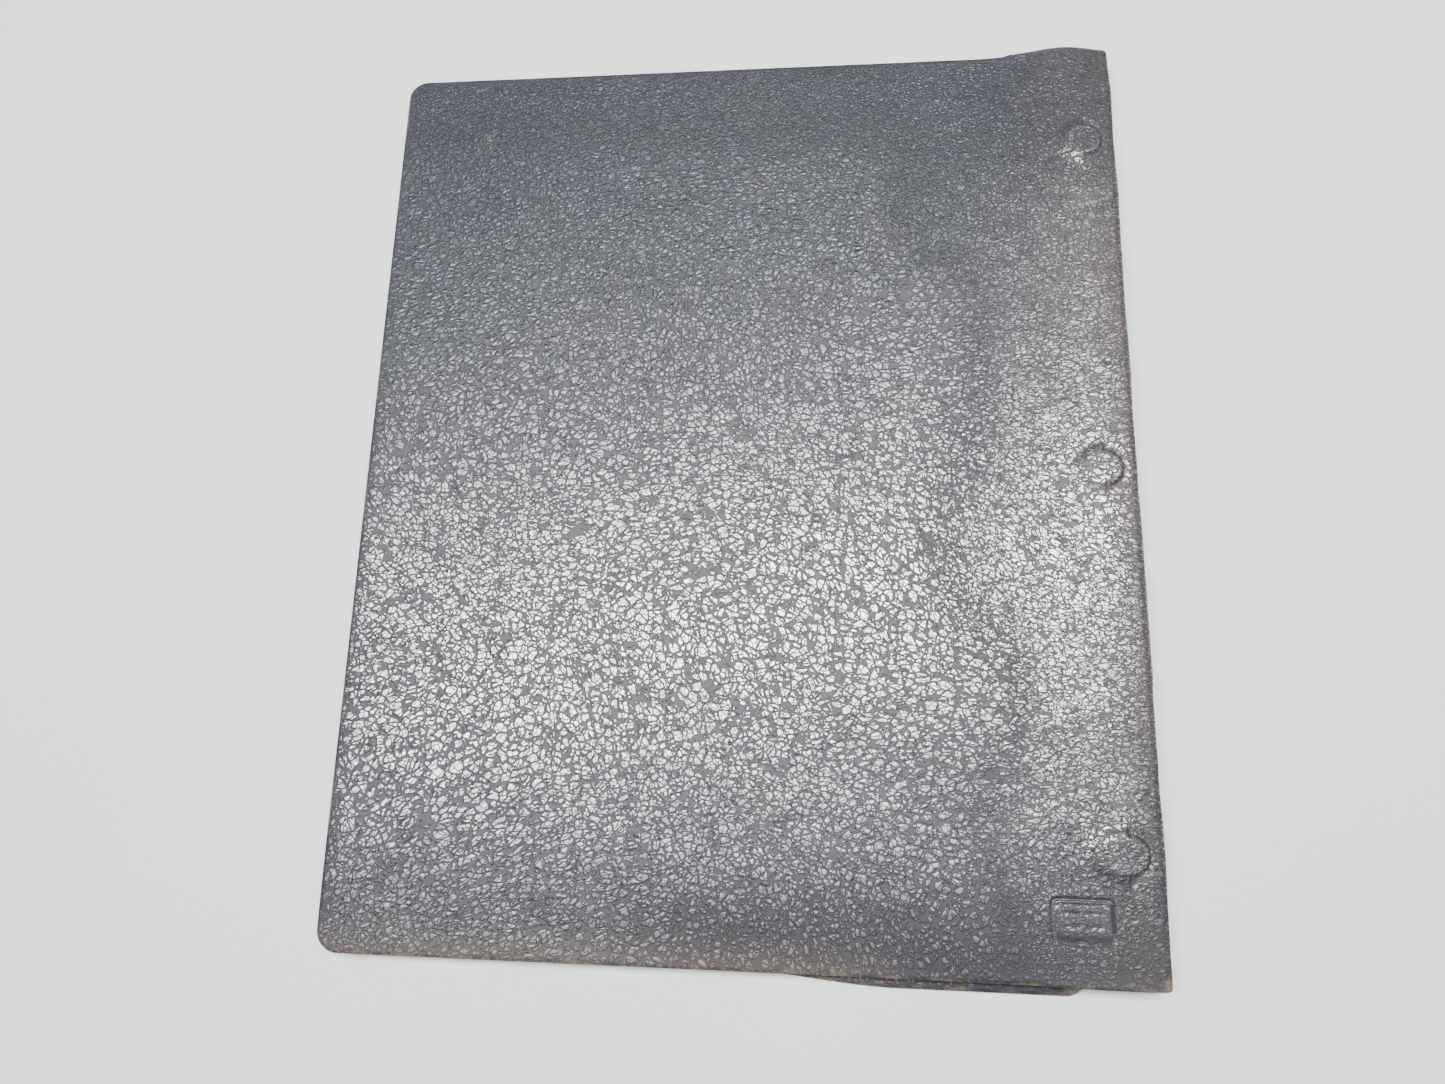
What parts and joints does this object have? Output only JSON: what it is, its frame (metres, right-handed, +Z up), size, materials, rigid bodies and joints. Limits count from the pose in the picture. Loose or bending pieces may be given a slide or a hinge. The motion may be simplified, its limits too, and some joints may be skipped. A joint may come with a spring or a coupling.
{
  "type": "pilot logbook",
  "caption": "Soft leather pilot logbook, closed: two hinged covers, a crowned binding margin over screw posts, and loose log sheets with tab dividers.",
  "frame": {"origin": "middle of the footprint, on the table, under the closed book", "axes": "+X towards the spine, +Y towards the head of the book, +Z up from the front cover to the back cover"},
  "size_m": [0.235, 0.284, 0.012],
  "materials": {
    "black_leather": "pebbled grain, semi-matt, worn on edges",
    "cover_board": "grey-brown book board",
    "cover_lining": "fine woven lining cloth, matt",
    "strip_fibre": "dense dark vulcanised fibre, satin",
    "post_nickel": "nickel-plated, lightly worn",
    "eyelet_brass": "satin",
    "divider_card": "buff index card, matt",
    "log_paper": "uncoated ruled ledger paper"
  },
  "bodies": {
    "front_cover": {"front_leather": "black_leather", "front_board": "cover_board", "front_lining": "cover_lining"},
    "spine": {"spine_leather": "black_leather", "spine_liner": "cover_lining"},
    "binding": {"back_margin_leather": "black_leather", "back_binding_strip": "strip_fibre", "front_binding_strip": "strip_fibre", "binding_post_bottom": "post_nickel", "binding_post_middle": "post_nickel", "binding_post_top": "post_nickel", "binding_screw_bottom": "post_nickel", "binding_screw_middle": "post_nickel", "binding_screw_top": "post_nickel", "eyelet_bottom": "eyelet_brass", "eyelet_middle": "eyelet_brass", "eyelet_top": "eyelet_brass", "tab_divider_1_margin": "divider_card", "log_sheets_1_margin": "log_paper", "tab_divider_2_margin": "divider_card", "log_sheets_2_margin": "log_paper", "tab_divider_3_margin": "divider_card", "log_sheets_3_margin": "log_paper", "tab_divider_4_margin": "divider_card", "log_sheets_4_margin": "log_paper"},
    "back_cover": {"back_leather": "black_leather", "back_board": "cover_board", "back_lining": "cover_lining"},
    "section_1": {"tab_divider_1": "divider_card", "log_sheets_1": "log_paper"},
    "section_2": {"tab_divider_2": "divider_card", "log_sheets_2": "log_paper"},
    "section_3": {"tab_divider_3": "divider_card", "log_sheets_3": "log_paper"},
    "section_4": {"tab_divider_4": "divider_card", "log_sheets_4": "log_paper"}
  },
  "joints": [
    {"name": "front_fold", "type": "hinge", "parent": "front_cover", "child": "spine", "pos_m": [0.117, 0, 0.0008], "axis": [0, 1, 0], "range_deg": [0, 90]},
    {"name": "back_fold", "type": "hinge", "parent": "spine", "child": "binding", "pos_m": [0.117, 0, 0.01123], "axis": [0, 1, 0], "range_deg": [0, 90]},
    {"name": "back_crease", "type": "hinge", "parent": "binding", "child": "back_cover", "pos_m": [0.0895, 0, 0.00998], "axis": [0, -1, 0], "range_deg": [-174, 0]},
    {"name": "section_1_turn", "type": "hinge", "parent": "binding", "child": "section_1", "pos_m": [0.0842, 0, 0.002], "axis": [0, 1, 0], "range_deg": [-179, 0]},
    {"name": "section_2_turn", "type": "hinge", "parent": "binding", "child": "section_2", "pos_m": [0.0842, 0, 0.002], "axis": [0, 1, 0], "range_deg": [-175, 0]},
    {"name": "section_3_turn", "type": "hinge", "parent": "binding", "child": "section_3", "pos_m": [0.0842, 0, 0.002], "axis": [0, 1, 0], "range_deg": [-4, 0]},
    {"name": "section_4_turn", "type": "hinge", "parent": "binding", "child": "section_4", "pos_m": [0.0842, 0, 0.002], "axis": [0, 1, 0], "range_deg": [-2, 0]}
  ],
  "couplings": [
    {"joint": "back_fold", "follows": "front_fold", "ratio": 1},
    {"joint": "section_1_turn", "follows": "front_fold", "ratio": -1.9888},
    {"joint": "section_2_turn", "follows": "front_fold", "ratio": -1.9444},
    {"joint": "section_3_turn", "follows": "front_fold", "ratio": -0.0444},
    {"joint": "section_4_turn", "follows": "front_fold", "ratio": -0.0222}
  ]
}
